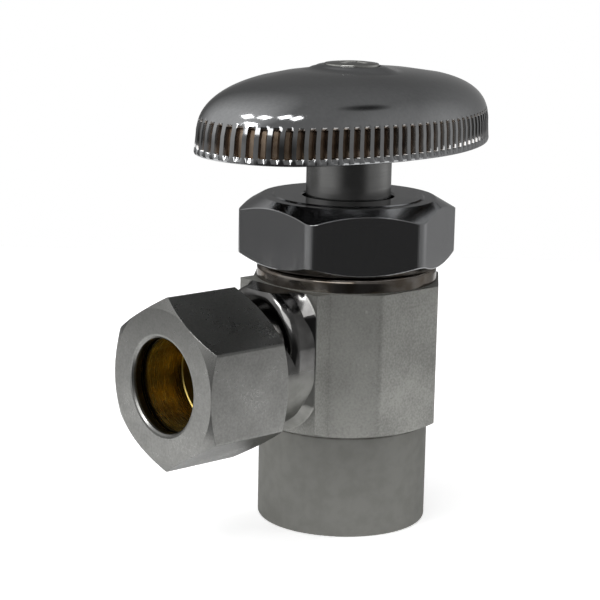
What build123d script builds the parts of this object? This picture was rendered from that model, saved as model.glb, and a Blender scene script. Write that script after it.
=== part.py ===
from build123d import *
import os
from math import cos, pi, radians, sqrt, tan

# Angle valve in millimetres: the stem axis is z, the inlet mouth is centred on the origin and
# the outlet points along minus x. The valve is shown open.

# Inlet: a cup that takes a copper tube
inlet_tube_diameter = 15.88
inlet_tube_clearance = 0.08
cup_depth = 12.7
inlet_diameter = 18.37
inlet_rim_round = 0.35

# Octagonal barrel of the body
barrel_flats = 19.9
barrel_foot = 11.0
barrel_top = 26.6
barrel_sides = 8
barrel_edge_round = 1.1
barrel_foot_ledge = 0.12
barrel_foot_angle = 22
outlet_face = 9.75
outlet_pad_width = 12.4

# Collar and threaded spigot above the barrel
collar_diameter = 19.4
collar_height = 1.55
collar_edge_round = 0.55
spigot_diameter = 16.4
spigot_height = 3.75
packing_well_diameter = 13.8
packing_well_depth = 2.5

# Seat and water ways
web_above_cup = 1.5
seat_bore_diameter = 6.6
seat_lip_width = 0.95
seat_lip_height = 0.8
chamber_diameter = 12.6
chamber_height = 8.1
outlet_bore_diameter = 6.2

# Outlet branch
outlet_height = 18.18
branch_diameter = 12.2
branch_rise = 2.9
branch_reach = 13.0
branch_end_round = 1.2
branch_root_flare = 0.9
branch_flare_angle = 45
relief_end = 16.4
outlet_thread_diameter = 14.2
outlet_mouth = 20.2
outlet_tube_diameter = 9.525
outlet_tube_clearance = 0.06
outlet_socket_depth = 6.2
mouth_cone_diameter = 12.9

# Packing nut
packing_nut_flats = 20.9
packing_nut_bottom_gap = 0.25
packing_nut_height = 7.15
packing_nut_roof = 2.5
packing_nut_turn = -1.65
packing_nut_top_face = 18.8
packing_nut_foot_face = 20.2
packing_nut_ring_diameter = 16.2
packing_nut_ring_step = 0.12
spigot_thread_clearance = 0.1
stem_hole_clearance = 0.35

# Both nuts
nut_sides = 6
nut_bevel_angle = 30

# Packing around the stem
packing_washer_thickness = 0.8
packing_thickness = 2.0
packing_edge_clearance = 0.1
packing_stem_clearance = 0.04
washer_stem_clearance = 0.1

# Stem
stem_diameter = 9.13
stem_thread_diameter = 10.9
stem_thread_clearance = 0.08
stem_thread_pitch = 1.27
stem_thread_length = 5.6
stem_thread_play = 0.2
opening_turns = 2.5
stem_groove_diameter = 8.2
stem_groove_length = 1.5
seat_cup_diameter = 10.4
seat_cup_depth = 1.3
drive_flats = 5.6
drive_length = 5.2
drive_edge_round = 0.4

# Seat washer and its screw
seat_washer_diameter = 9.2
seat_washer_thickness = 2.2
seat_washer_clearance = 0.05
seat_gap = 0.05
seat_screw_diameter = 3.0
seat_screw_length = 6.2
seat_screw_head_diameter = 5.0
seat_screw_head_height = 1.2
seat_screw_slot = 0.7
screw_hole_clearance = 0.03

# Handle
handle_length = 45.0
handle_width = 24.3
handle_turn = 15.25
handle_rim_height = 40.95
handle_height = 8.3
handle_end_radius = 8.0
handle_draft_angle = 6
handle_rim_round = 0.5
handle_shoulder_round = 2.4
crown_drop = 2.6
handle_wall = 1.5
hub_diameter = 11.6
hub_recess = 0.45
drive_clearance = 0.05
boss_diameter = 7.6
boss_height = 0.35
boss_edge_round = 0.25
flute_count = 87
flute_width = 0.66
flute_depth = 0.62
flute_foot = 0.62
flute_height = 3.15

# Handle screw
handle_screw_diameter = 3.5
handle_screw_length = 7.0
handle_screw_hole_spare = 0.8
handle_screw_head_diameter = 5.8
handle_screw_head_height = 0.95
handle_screw_crown = 0.2
handle_screw_head_clearance = 0.1
handle_screw_slot_width = 0.8
handle_screw_slot_length = 3.6
handle_screw_slot_depth = 0.7

# Compression nut and ferrule
compression_nut_flats = 15.875
compression_nut_back = 15.0
compression_nut_length = 10.09
compression_nut_face = 16.2
compression_nut_lip = 1.1
compression_nut_hole_clearance = 0.15
compression_nut_hole_bevel = 0.35
compression_thread_clearance = 0.12
ferrule_wall = 1.45
ferrule_nose = 0.3
ferrule_tube_clearance = 0.08
ferrule_seat_clearance = 0.15

# Heights along the stem axis
inlet_radius = inlet_diameter / 2
chamber_floor = cup_depth + web_above_cup
chamber_top = chamber_floor + chamber_height
seat_height = chamber_floor + seat_lip_height
collar_top = barrel_top + collar_height
spigot_top = collar_top + spigot_height
well_floor = spigot_top - packing_well_depth
packing_bottom = well_floor + packing_washer_thickness
gland_bottom = packing_bottom + packing_thickness
packing_nut_bottom = collar_top + packing_nut_bottom_gap
packing_nut_top = packing_nut_bottom + packing_nut_height
gland_top = packing_nut_top - packing_nut_roof

# Stem heights with the valve open
stem_lift = stem_thread_pitch * opening_turns
seat_washer_bottom = seat_height + seat_gap + stem_lift
seat_washer_top = seat_washer_bottom + seat_washer_thickness
stem_thread_top = well_floor - stem_thread_play
stem_thread_bottom = stem_thread_top - stem_thread_length
groove_bottom = stem_thread_bottom - stem_groove_length

# Handle heights
handle_top = handle_rim_height + handle_height
boss_top = handle_top + boss_height
hub_bottom = handle_rim_height + hub_recess
drive_top = hub_bottom + drive_length
screw_head_bottom = boss_top - handle_screw_head_height

# Places along the outlet axis, counted from the stem axis
outlet_tube_radius = outlet_tube_diameter / 2
socket_radius = outlet_tube_radius + outlet_tube_clearance
socket_floor = outlet_mouth - outlet_socket_depth
mouth_cone_depth = mouth_cone_diameter / 2 - socket_radius
compression_nut_front = compression_nut_back + compression_nut_length
nut_hole_radius = outlet_tube_radius + compression_nut_hole_clearance
nut_thread_radius = outlet_thread_diameter / 2 + compression_thread_clearance
nut_cone_top = compression_nut_front - compression_nut_lip

# Boxes that stand on their place, centred on it
standing = (Align.CENTER, Align.CENTER, Align.MIN)


def turned(*outline):
    """Solid turned about the z axis from a half section of (radius, height) points."""
    section = make_face(Polyline(*outline, close=True))
    return revolve(Plane.XZ * section, Axis.Z)


def rod(radius, low, high):
    """Round bar on the z axis between two heights."""
    return turned((0, low), (radius, low), (radius, high), (0, high))


def ring(outer, inner, low, high):
    """Plain ring on the z axis between two heights."""
    return turned((inner, low), (outer, low), (outer, high), (inner, high))


def on_outlet(shape):
    """Lays a shape modelled along plus z, from the stem axis, onto the outlet axis."""
    return Pos(0, 0, outlet_height) * Rot(0, -90, 0) * shape


def hexagon_bar(flats, low, high, turn):
    """Hexagon bar between two heights, with a corner at the given turn from the x axis."""
    outline = RegularPolygon(flats / 2, nut_sides, major_radius=False, rotation=turn)
    return Pos(0, 0, low) * extrude(outline, high - low)


def bevelled_hexagon(flats, low, high, foot_face, top_face, turn):
    """Hexagon bar whose corners are turned off to a round face at both ends."""
    corner = flats / 2 / cos(pi / nut_sides)
    slope = tan(radians(nut_bevel_angle))
    foot_drop = (corner - foot_face / 2) * slope
    top_drop = (corner - top_face / 2) * slope
    envelope = turned(
        (0, low),
        (foot_face / 2, low),
        (corner, low + foot_drop),
        (corner, high - top_drop),
        (top_face / 2, high),
        (0, high),
    )
    return hexagon_bar(flats, low, high, turn) & envelope


def upright_edges(shape):
    """Edges that run parallel to the z axis."""
    return shape.edges().filter_by(Axis.Z)


def make_barrel():
    """Octagonal barrel with rounded edges and a flat pad for the branch, its foot turned off."""
    half_turn = 180 / barrel_sides
    outline = RegularPolygon(barrel_flats / 2, barrel_sides, major_radius=False, rotation=half_turn)
    outline = split(outline, bisect_by=Plane.YZ.offset(-outlet_face), keep=Keep.TOP)
    outline += Pos(-outlet_face / 2, 0) * Rectangle(outlet_face, outlet_pad_width)
    barrel = Pos(0, 0, barrel_foot) * extrude(outline, barrel_top - barrel_foot)
    clear_of_pad = upright_edges(barrel).filter_by(lambda edge: edge.center().X > -outlet_face / 2)
    barrel = fillet(clear_of_pad, barrel_edge_round)
    reach = sqrt(outlet_face**2 + barrel_flats**2)
    foot_radius = inlet_radius + barrel_foot_ledge
    envelope = turned(
        (0, barrel_foot),
        (foot_radius, barrel_foot),
        (reach, barrel_foot + (reach - foot_radius) * tan(radians(barrel_foot_angle))),
        (reach, barrel_top),
        (0, barrel_top),
    )
    return barrel & envelope


def make_branch():
    """Forged branch, flat on top where it meets the collar, with its relief and thread."""
    section = Pos(branch_rise / 2, 0) * SlotCenterToCenter(branch_rise, branch_diameter)
    forging = extrude(section, branch_reach)
    forging = fillet(forging.faces().sort_by(Axis.Z)[-1].edges(), branch_end_round)
    pad_strip = Rectangle(2 * barrel_top, outlet_pad_width)
    root_section = offset(section, branch_root_flare) & pad_strip
    flare = Pos(0, 0, outlet_face) * extrude(root_section, branch_root_flare, taper=branch_flare_angle)
    relief = rod(branch_diameter / 2, 0, relief_end)
    thread = rod(outlet_thread_diameter / 2, relief_end, outlet_mouth)
    branch = on_outlet(forging + flare + relief + thread)
    return split(branch, bisect_by=Plane.XY.offset(barrel_top), keep=Keep.BOTTOM)


def make_water_ways():
    """Tube cup, seat bore, washer chamber, stem thread bore, packing well and outlet socket."""
    cup_radius = inlet_tube_diameter / 2 + inlet_tube_clearance
    cup = rod(cup_radius, 0, cup_depth)
    seat_bore = rod(seat_bore_diameter / 2, cup_depth, seat_height)
    seat_lip = rod(seat_bore_diameter / 2 + seat_lip_width, chamber_floor, seat_height)
    chamber = rod(chamber_diameter / 2, chamber_floor, chamber_top) - seat_lip
    thread_bore = rod(stem_thread_diameter / 2 + stem_thread_clearance, chamber_top, well_floor)
    well = rod(packing_well_diameter / 2, well_floor, spigot_top)
    way_out = rod(outlet_bore_diameter / 2, 0, socket_floor)
    socket = rod(socket_radius, socket_floor, outlet_mouth)
    mouth = turned(
        (0, outlet_mouth - mouth_cone_depth),
        (socket_radius, outlet_mouth - mouth_cone_depth),
        (mouth_cone_diameter / 2, outlet_mouth),
        (0, outlet_mouth),
    )
    return [cup, seat_bore, chamber, thread_bore, well, on_outlet(way_out + socket + mouth)]


def make_valve_body():
    """One forging: inlet cup, barrel, collar, spigot and outlet branch."""
    inlet = rod(inlet_radius, 0, barrel_foot)
    inlet = fillet(inlet.edges().sort_by(Axis.Z)[0], inlet_rim_round)
    collar = rod(collar_diameter / 2, barrel_top, collar_top)
    collar = fillet(collar.edges().sort_by(Axis.Z)[-1], collar_edge_round)
    spigot = rod(spigot_diameter / 2, collar_top, spigot_top)
    body = inlet + make_barrel() + make_branch() + collar + spigot
    for way in make_water_ways():
        body -= way
    return body


def make_packing_nut():
    """Hexagon nut with a thin raised ring on top and a hole for the stem."""
    nut = bevelled_hexagon(
        packing_nut_flats,
        packing_nut_bottom,
        packing_nut_top - packing_nut_ring_step,
        packing_nut_foot_face,
        packing_nut_top_face,
        180 / nut_sides + packing_nut_turn,
    )
    nut += rod(packing_nut_ring_diameter / 2, gland_top, packing_nut_top)
    nut -= rod(spigot_diameter / 2 + spigot_thread_clearance, packing_nut_bottom, gland_top)
    nut -= rod(stem_diameter / 2 + stem_hole_clearance, gland_top, packing_nut_top)
    return nut


def make_packing_ring(low, high, stem_clearance):
    """Ring that fills the packing well around the stem."""
    outer = packing_well_diameter / 2 - packing_edge_clearance
    return ring(outer, stem_diameter / 2 + stem_clearance, low, high)


def make_stem():
    """Turned stem: washer cup, groove, thread, plain shaft and square drive for the handle."""
    stem = turned(
        (0, seat_washer_top - seat_cup_depth),
        (seat_cup_diameter / 2, seat_washer_top - seat_cup_depth),
        (seat_cup_diameter / 2, groove_bottom),
        (stem_groove_diameter / 2, groove_bottom),
        (stem_groove_diameter / 2, stem_thread_bottom),
        (stem_thread_diameter / 2, stem_thread_bottom),
        (stem_thread_diameter / 2, stem_thread_top),
        (stem_diameter / 2, stem_thread_top),
        (stem_diameter / 2, hub_bottom),
        (0, hub_bottom),
    )
    drive = Box(drive_flats, drive_flats, drive_length, align=standing)
    drive = fillet(upright_edges(drive), drive_edge_round)
    stem += Pos(0, 0, hub_bottom) * Rot(0, 0, handle_turn) * drive
    cup_radius = seat_washer_diameter / 2 + seat_washer_clearance
    stem -= rod(cup_radius, seat_washer_top - seat_cup_depth, seat_washer_top)
    seat_screw_hole = seat_screw_diameter / 2 + screw_hole_clearance
    seat_screw_end = seat_washer_bottom + seat_screw_length + screw_hole_clearance
    stem -= rod(seat_screw_hole, seat_washer_top, seat_screw_end)
    handle_screw_hole = handle_screw_diameter / 2 + screw_hole_clearance
    handle_screw_end = screw_head_bottom - handle_screw_length - handle_screw_hole_spare
    stem -= rod(handle_screw_hole, handle_screw_end, drive_top)
    return stem


def make_seat_washer():
    """Rubber disc in the stem's cup, with a hole for its screw."""
    hole = seat_screw_diameter / 2 + screw_hole_clearance
    return ring(seat_washer_diameter / 2, hole, seat_washer_bottom, seat_washer_top)


def make_seat_screw():
    """Slotted screw that holds the washer from below."""
    head_bottom = seat_washer_bottom - seat_screw_head_height
    screw = rod(seat_screw_diameter / 2, seat_washer_bottom, seat_washer_bottom + seat_screw_length)
    screw += rod(seat_screw_head_diameter / 2, head_bottom, seat_washer_bottom)
    slot = Box(seat_screw_head_diameter, seat_screw_slot, seat_screw_head_height)
    return screw - Pos(0, 0, head_bottom) * slot


def oval(half_length, half_width, end_radius):
    """Oval of four arcs that meet smoothly, with its long axis along x."""
    reach = half_length - end_radius
    spare = half_width - end_radius
    depth = (reach ** 2 - spare ** 2) / (2 * spare)
    side_radius = half_width + depth
    span = sqrt(reach ** 2 + depth ** 2)
    x = side_radius * reach / span
    y = side_radius * depth / span - depth
    right_end = ThreePointArc((x, -y), (half_length, 0), (x, y))
    far_side = ThreePointArc((x, y), (0, half_width), (-x, y))
    left_end = ThreePointArc((-x, y), (-half_length, 0), (-x, -y))
    near_side = ThreePointArc((-x, -y), (0, -half_width), (x, -y))
    return make_face([right_end, far_side, left_end, near_side])


def crowned_oval(inset, top):
    """Oval block with sloping sides and a crowned top, set in from the handle's outline."""
    half_length = handle_length / 2 - inset
    half_width = handle_width / 2 - inset
    outline = oval(half_length, half_width, handle_end_radius - inset)
    block = extrude(outline, top - handle_rim_height, taper=handle_draft_angle)
    block = Pos(0, 0, handle_rim_height) * block
    wide_radius = (half_width ** 2 + crown_drop ** 2) / (2 * crown_drop)
    crown_axis = top - wide_radius
    edge = top - crown_drop
    crown = ThreePointArc((-half_length, edge), (0, top), (half_length, edge))
    sides = Polyline(
        (half_length, edge),
        (half_length, crown_axis),
        (-half_length, crown_axis),
        (-half_length, edge),
    )
    barrel = revolve(Plane.XZ * make_face([crown, sides]), Axis((0, 0, crown_axis), (1, 0, 0)))
    return block & barrel


def make_flutes():
    """Cutters for the upright flutes, spaced evenly around the oval rim."""
    rim = oval(handle_length / 2, handle_width / 2, handle_end_radius).wire()
    cutter = Box(flute_width, 2 * flute_depth, flute_height, align=standing)
    flutes = []
    for flute in range(flute_count):
        share = flute / flute_count
        place = Plane(rim.position_at(share), x_dir=rim.tangent_at(share), z_dir=(0, 0, 1))
        flutes.append(Pos(0, 0, handle_rim_height + flute_foot) * place * cutter)
    return flutes


def make_handle():
    """Oval handle: a fluted band under a crowned top, hollow inside, with a hub for the drive."""
    handle = crowned_oval(0, handle_top)
    shoulder_edges = handle.faces().sort_by(Axis.Z)[-1].edges()
    handle = fillet(shoulder_edges, handle_shoulder_round)
    handle = fillet(handle.faces().sort_by(Axis.Z)[0].edges(), handle_rim_round)
    handle -= crowned_oval(handle_wall, handle_top - handle_wall)
    handle -= make_flutes()
    handle += rod(hub_diameter / 2, hub_bottom, handle_top - handle_wall / 2)
    boss = rod(boss_diameter / 2, handle_top - handle_wall, boss_top)
    handle += fillet(boss.edges().sort_by(Axis.Z)[-1], boss_edge_round)
    socket_flats = drive_flats + 2 * drive_clearance
    socket = Box(socket_flats, socket_flats, drive_length, align=standing)
    handle -= Pos(0, 0, hub_bottom) * socket
    shank_hole = handle_screw_diameter / 2 + handle_screw_head_clearance
    handle -= rod(shank_hole, drive_top, screw_head_bottom)
    head_hole = handle_screw_head_diameter / 2 + handle_screw_head_clearance
    handle -= rod(head_hole, screw_head_bottom, boss_top)
    return Rot(0, 0, handle_turn) * handle


def make_handle_screw():
    """Screw with a crowned head and a cross recess."""
    head_radius = handle_screw_head_diameter / 2
    crown_top = boss_top + handle_screw_crown
    crown_radius = (head_radius ** 2 + handle_screw_crown ** 2) / (2 * handle_screw_crown)
    head = rod(head_radius, screw_head_bottom, crown_top)
    head &= Pos(0, 0, crown_top - crown_radius) * Sphere(crown_radius)
    screw_end = screw_head_bottom - handle_screw_length
    screw = head + rod(handle_screw_diameter / 2, screw_end, screw_head_bottom)
    slot = Box(handle_screw_slot_length, handle_screw_slot_width, 2 * handle_screw_slot_depth)
    recess = Pos(0, 0, crown_top) * (slot + Rot(0, 0, 90) * slot)
    return Rot(0, 0, handle_turn) * (screw - recess)


def make_compression_nut():
    """Hexagon nut with a corner up, a thread bore, a cone for the ferrule and a tube hole."""
    nut = bevelled_hexagon(
        compression_nut_flats,
        compression_nut_back,
        compression_nut_front,
        compression_nut_face,
        compression_nut_face,
        0,
    )
    cone_bottom = nut_cone_top - (nut_thread_radius - nut_hole_radius)
    mouth = compression_nut_front - compression_nut_hole_bevel
    nut -= turned(
        (0, compression_nut_back),
        (nut_thread_radius, compression_nut_back),
        (nut_thread_radius, cone_bottom),
        (nut_hole_radius, nut_cone_top),
        (nut_hole_radius, mouth),
        (nut_hole_radius + compression_nut_hole_bevel, compression_nut_front),
        (0, compression_nut_front),
    )
    return on_outlet(nut)


def make_ferrule():
    """Sleeve with a taper at each end, between the body's mouth and the nut's cone."""
    inner = outlet_tube_radius + ferrule_tube_clearance
    nose = inner + ferrule_nose
    outer = inner + ferrule_wall
    seat_offset = ferrule_seat_clearance * sqrt(2)
    low = outlet_mouth - (mouth_cone_diameter / 2 - nose) + seat_offset
    high = nut_cone_top - (nose - nut_hole_radius) - seat_offset
    taper = outer - nose
    ferrule = turned(
        (inner, low),
        (nose, low),
        (outer, low + taper),
        (outer, high - taper),
        (nose, high),
        (inner, high),
    )
    return on_outlet(ferrule)


pieces = {
    "valve_body": make_valve_body(),
    "packing_nut": make_packing_nut(),
    "packing_washer": make_packing_ring(well_floor, packing_bottom, washer_stem_clearance),
    "stem_packing": make_packing_ring(packing_bottom, gland_bottom, packing_stem_clearance),
    "gland_washer": make_packing_ring(gland_bottom, gland_top, washer_stem_clearance),
    "stem": make_stem(),
    "seat_washer": make_seat_washer(),
    "seat_screw": make_seat_screw(),
    "handle": make_handle(),
    "handle_screw": make_handle_screw(),
    "compression_nut": make_compression_nut(),
    "ferrule": make_ferrule(),
}

os.makedirs("parts", exist_ok=True)
for node, shape in pieces.items():
    export_step(shape, f"parts/{node}.step")
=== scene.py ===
# %% [markdown]
# Angle valve, dressed for the camera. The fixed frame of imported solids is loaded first, so that every
# piece made here lands where the solid it stands for already is. The pieces are modelled in
# millimetres, as a fitter would measure them, and each mesh is scaled to metres as its last step.

# %% Load the frame
from math import atan2, cos, hypot, pi, radians, sin, sqrt, tan

import bmesh
import bpy
from mathutils import Matrix, Vector


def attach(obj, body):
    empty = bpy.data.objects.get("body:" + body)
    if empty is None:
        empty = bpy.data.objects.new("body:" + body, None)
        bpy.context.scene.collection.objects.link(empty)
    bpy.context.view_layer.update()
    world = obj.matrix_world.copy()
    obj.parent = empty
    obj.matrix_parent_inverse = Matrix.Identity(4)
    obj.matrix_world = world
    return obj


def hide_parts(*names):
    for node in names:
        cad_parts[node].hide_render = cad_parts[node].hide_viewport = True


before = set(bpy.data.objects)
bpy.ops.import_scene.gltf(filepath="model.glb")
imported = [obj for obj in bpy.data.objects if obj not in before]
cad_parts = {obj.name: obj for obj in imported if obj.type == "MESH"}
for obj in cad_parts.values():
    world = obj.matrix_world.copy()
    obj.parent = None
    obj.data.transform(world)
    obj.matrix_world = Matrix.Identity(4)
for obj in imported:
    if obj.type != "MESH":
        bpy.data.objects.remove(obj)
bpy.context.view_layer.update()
MM = 0.001

# %% [markdown]
# The camera stands to the front left of the valve, a little above it, with a long lens, so that the
# upright edges stay nearly parallel. Its place comes from two angles and a distance, and its axes are
# built from them by hand: a look-at constraint could not give the slight roll of a hand-held shot.

# %% Camera
aim = Vector((0, 0, 22.18 * MM))
camera_distance = 218.09 * MM
camera_azimuth = radians(-42.95)
camera_elevation = radians(12.545)
camera_yaw = radians(1.334)
camera_pitch = radians(-0.4206)
camera_roll = radians(1.1764)
lens_length = 120.33
sensor_width = 36.0
nearest_seen = 0.01


def direction_back(azimuth, elevation):
    """Direction from the valve towards a camera at these angles."""
    level = cos(elevation)
    return Vector((sin(azimuth) * level, -cos(azimuth) * level, sin(elevation)))


towards_camera = direction_back(camera_azimuth, camera_elevation)
back = direction_back(camera_azimuth + camera_yaw, camera_elevation + camera_pitch)
level_right = Vector((cos(camera_azimuth + camera_yaw), sin(camera_azimuth + camera_yaw), 0))
level_up = back.cross(level_right)
right = level_right * cos(camera_roll) + level_up * sin(camera_roll)
up = level_up * cos(camera_roll) - level_right * sin(camera_roll)

camera = bpy.data.objects.new("camera", bpy.data.cameras.new("camera"))
camera.data.lens = lens_length
camera.data.sensor_width = sensor_width
camera.data.clip_start = nearest_seen
turn = Matrix((right, up, back)).transposed().to_4x4()
camera.matrix_world = Matrix.Translation(aim + towards_camera * camera_distance) @ turn
bpy.context.scene.collection.objects.link(camera)
bpy.context.scene.camera = camera
print("camera at", [round(value, 4) for value in camera.matrix_world.translation])

# %% [markdown]
# A shader is a set of nodes joined by links. Written out, each node takes several lines, so small
# helpers make a node, set its values and link its inputs in one line. They work for materials and for
# the world alike, because both hold the same kind of node tree.

# %% Shader helpers
def node(tree, kind, inputs=None, **settings):
    """Adds a shader node, with its settings and its inputs given as values or as sockets."""
    made = tree.nodes.new("ShaderNode" + kind)
    for key, value in settings.items():
        setattr(made, key, value)
    for key, value in (inputs or {}).items():
        if isinstance(value, bpy.types.NodeSocket):
            tree.links.new(value, made.inputs[key])
        else:
            made.inputs[key].default_value = value
    return made


def ramp(tree, value, *stops):
    """Colour that follows a value through stops of (place, (red, green, blue))."""
    made = node(tree, "ValToRGB", {"Fac": value})
    elements = made.color_ramp.elements
    while len(elements) < len(stops):
        elements.new(0.5)
    for element, (place, colour) in zip(elements, stops):
        element.position = place
        element.color = (*colour, 1)
    return made.outputs["Color"]


def mapped(tree, value, low, high, to_low=0.0, to_high=1.0):
    """Value carried from one range to another, and held at its ends."""
    sockets = {"Value": value, "From Min": low, "From Max": high, "To Min": to_low, "To Max": to_high}
    return node(tree, "MapRange", sockets).outputs["Result"]


def maths(tree, operation, first, second):
    """One sum on two values."""
    return node(tree, "Math", {0: first, 1: second}, operation=operation).outputs["Value"]


def empty_tree(owner):
    """Node tree of a material or of the world, cleared of its nodes."""
    owner.use_nodes = True
    owner.node_tree.nodes.clear()
    return owner.node_tree


# %% [markdown]
# The valve stands on a small white table. The picture needs a white ground with a soft shadow on it,
# but more light would wash out the metal. So the matt paint gets a glow that only the camera, mirrors
# and glass can see, and the light that falls on the valve stays plain. The table stops just in front
# of the valve, because a longer one would show in the polished faces as a white band.

# %% Table
table_front = 0.034
table_left = 0.115
table_right = 0.08
table_back = 0.15
table_white = (0.8, 0.8, 0.8, 1)
table_glow = 0.6


def stage_object(name, bm):
    """Object of the studio from a bmesh in metres."""
    mesh = bpy.data.meshes.new(name)
    bm.to_mesh(mesh)
    bm.free()
    made = bpy.data.objects.new(name, mesh)
    bpy.context.scene.collection.objects.link(made)
    return made


def seen_directly(tree):
    """One for camera, glossy and transmission rays, and nought for the light that falls on things."""
    rays = node(tree, "LightPath").outputs
    seen = maths(tree, "MAXIMUM", rays["Is Camera Ray"], rays["Is Glossy Ray"])
    return maths(tree, "MAXIMUM", seen, rays["Is Transmission Ray"])


bm = bmesh.new()
bmesh.ops.create_grid(bm, x_segments=1, y_segments=1, size=1)
for corner in bm.verts:
    corner.co.x *= table_left if corner.co.x < 0 else table_right
    corner.co.y *= table_front if corner.co.y < 0 else table_back
bmesh.ops.rotate(bm, verts=bm.verts, matrix=Matrix.Rotation(camera_azimuth, 3, "Z"))
table = stage_object("table_top", bm)

table_paint = bpy.data.materials.new("white_table")
tree = empty_tree(table_paint)
matt = node(tree, "BsdfDiffuse", {"Color": table_white})
glow = node(tree, "Emission", {"Strength": maths(tree, "MULTIPLY", seen_directly(tree), table_glow)})
both = node(tree, "AddShader", {0: matt.outputs[0], 1: glow.outputs[0]})
node(tree, "OutputMaterial", {"Surface": both.outputs[0]})
table.data.materials.append(table_paint)
print("table reaches", table_back, "m behind the valve and", table_front, "m in front")

# %% [markdown]
# Past the table the camera sees the world, which is plain white. A backdrop would do too, but it would
# need a bend with no visible line. As light on the valve the world counts for only half of that white,
# so that faces turned away from the lamps keep some depth.

# %% World
white = (1, 1, 1, 1)
ambient = 0.5
world = bpy.data.worlds.new("white_surround")
bpy.context.scene.world = world
tree = empty_tree(world)
level = mapped(tree, seen_directly(tree), 0, 1, ambient, 1.0)
sky = node(tree, "Background", {"Color": white, "Strength": level})
node(tree, "OutputWorld", {"Surface": sky.outputs[0]})
print("world: white, with ambient light", ambient)

# %% [markdown]
# Polished metal shows its surroundings more than its own colour, so a grey tent stands round the
# studio, as it does when tableware is photographed. It is a sphere turned inside out, hidden from the
# camera and without a shadow, so that it shows only in the metal.

# %% Tent
tent_radius = 0.7
bm = bmesh.new()
bmesh.ops.create_icosphere(bm, subdivisions=4, radius=tent_radius)
bmesh.ops.reverse_faces(bm, faces=bm.faces)
tent = stage_object("grey_tent", bm)
tent.visible_camera = False
tent.visible_shadow = False
print("tent radius", tent_radius, "m")

# %% [markdown]
# The tent's cloth glows in greys. It is nearly black low down on the camera's side, which makes the
# packing nut's front dark, and brighter in four areas that show as the light flanks of the metal. Two
# small areas are dimmed, and the thin one is the dark streak on the handle's dome. Each area is a cone
# about a direction with a soft edge, which follows a reflection better than painted cloth would.

# %% Tent cloth
tent_grey = 0.26
tent_dark = 0.045
dark_side = (14, -25, 30, 48)
bright_areas = {
    "left side": ((-98, 44, 24, 56), 0.55),
    "near left": ((-60, -8, 10, 28), 0.16),
    "right side": ((138, -10, 18, 48), 0.22),
    "far right": ((104, 14, 14, 40), 0.12),
}
dimmed_areas = {
    "low left": ((-106, -10, 8, 26), 0.47),
    "streak": ((117, 53, 2, 8), 0.15),
}
tent_cloth = bpy.data.materials.new("tent_cloth")
tree = empty_tree(tent_cloth)
spot = node(tree, "TexCoord").outputs["Object"]
way = node(tree, "VectorMath", {0: spot}, operation="NORMALIZE").outputs["Vector"]


def nearness(azimuth, elevation, near, far):
    """One within an angle of a direction, nought beyond another. Azimuths are seen from the camera."""
    heading = direction_back(camera_azimuth + radians(azimuth), radians(elevation))
    along = node(tree, "VectorMath", {0: way, 1: heading}, operation="DOT_PRODUCT").outputs["Value"]
    return mapped(tree, along, cos(radians(far)), cos(radians(near)))


bright = mapped(tree, nearness(*dark_side), 0, 1, tent_grey, tent_dark)
for area, strength in bright_areas.values():
    bright = maths(tree, "ADD", bright, maths(tree, "MULTIPLY", nearness(*area), strength))
for area, share_left in dimmed_areas.values():
    bright = maths(tree, "MULTIPLY", bright, mapped(tree, nearness(*area), 0, 1, 1.0, share_left))
cloth = node(tree, "Emission", {"Strength": bright})
node(tree, "OutputMaterial", {"Surface": cloth.outputs[0]})
tent.data.materials.append(tent_cloth)
print("tent cloth:", ", ".join([*bright_areas, *dimmed_areas]))

# %% [markdown]
# On polished metal a lamp both lights and shows as a bright shape. A broad panel above the camera
# lights the satin faces, a window gives the patch on the handle's band, and four ceiling panes give
# the row of spots over the flutes. Area lamps do both jobs, where a point lamp would only sparkle.

# %% Lamps
lamp_distance = 0.5
ceiling_panes = ((-90, 66), (-52, 76), (30, 77), (52, 66))


def soft_lamp(name, azimuth, elevation, size, power):
    """Soft rectangular lamp that looks at the middle of the valve. Angles are seen from the camera."""
    lamp = bpy.data.lights.new(name, "AREA")
    lamp.shape = "RECTANGLE"
    lamp.size, lamp.size_y = size
    lamp.energy = power
    holder = bpy.data.objects.new(name, lamp)
    out = direction_back(camera_azimuth + radians(azimuth), radians(elevation))
    holder.location = aim + out * lamp_distance
    holder.rotation_euler = out.to_track_quat("Z", "Y").to_euler()
    bpy.context.scene.collection.objects.link(holder)
    print("lamp", name, "at", [round(value, 3) for value in holder.location])


soft_lamp("front_panel", azimuth=-18, elevation=34, size=(0.42, 0.2), power=0.75)
soft_lamp("window", azimuth=-48, elevation=50, size=(0.13, 0.11), power=0.7)
for pane, (azimuth, elevation) in enumerate(ceiling_panes, start=1):
    soft_lamp(f"ceiling_{pane}", azimuth, elevation, size=(0.09, 0.075), power=0.16)

# %% [markdown]
# Every finish starts from the place on the piece, in the object's own coordinates, because such a
# pattern stays put when the piece moves. The helpers here read one coordinate or the distance from an
# axis, stretch a pattern along the tool marks, and mix colours or numbers.

# %% Finish helpers
tone_stops = (0.36, 0.62)


def new_finish(name, metallic):
    """New material, with its node tree, its surface shader and the place on the piece."""
    material = bpy.data.materials.new(name)
    material.use_nodes = True
    tree = material.node_tree
    surface = tree.nodes["Principled BSDF"]
    surface.inputs["Metallic"].default_value = metallic
    return material, tree, surface, node(tree, "TexCoord").outputs["Object"]


def coordinate(tree, place, axis):
    """One coordinate of a place."""
    return node(tree, "SeparateXYZ", {"Vector": place}).outputs[axis]


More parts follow.
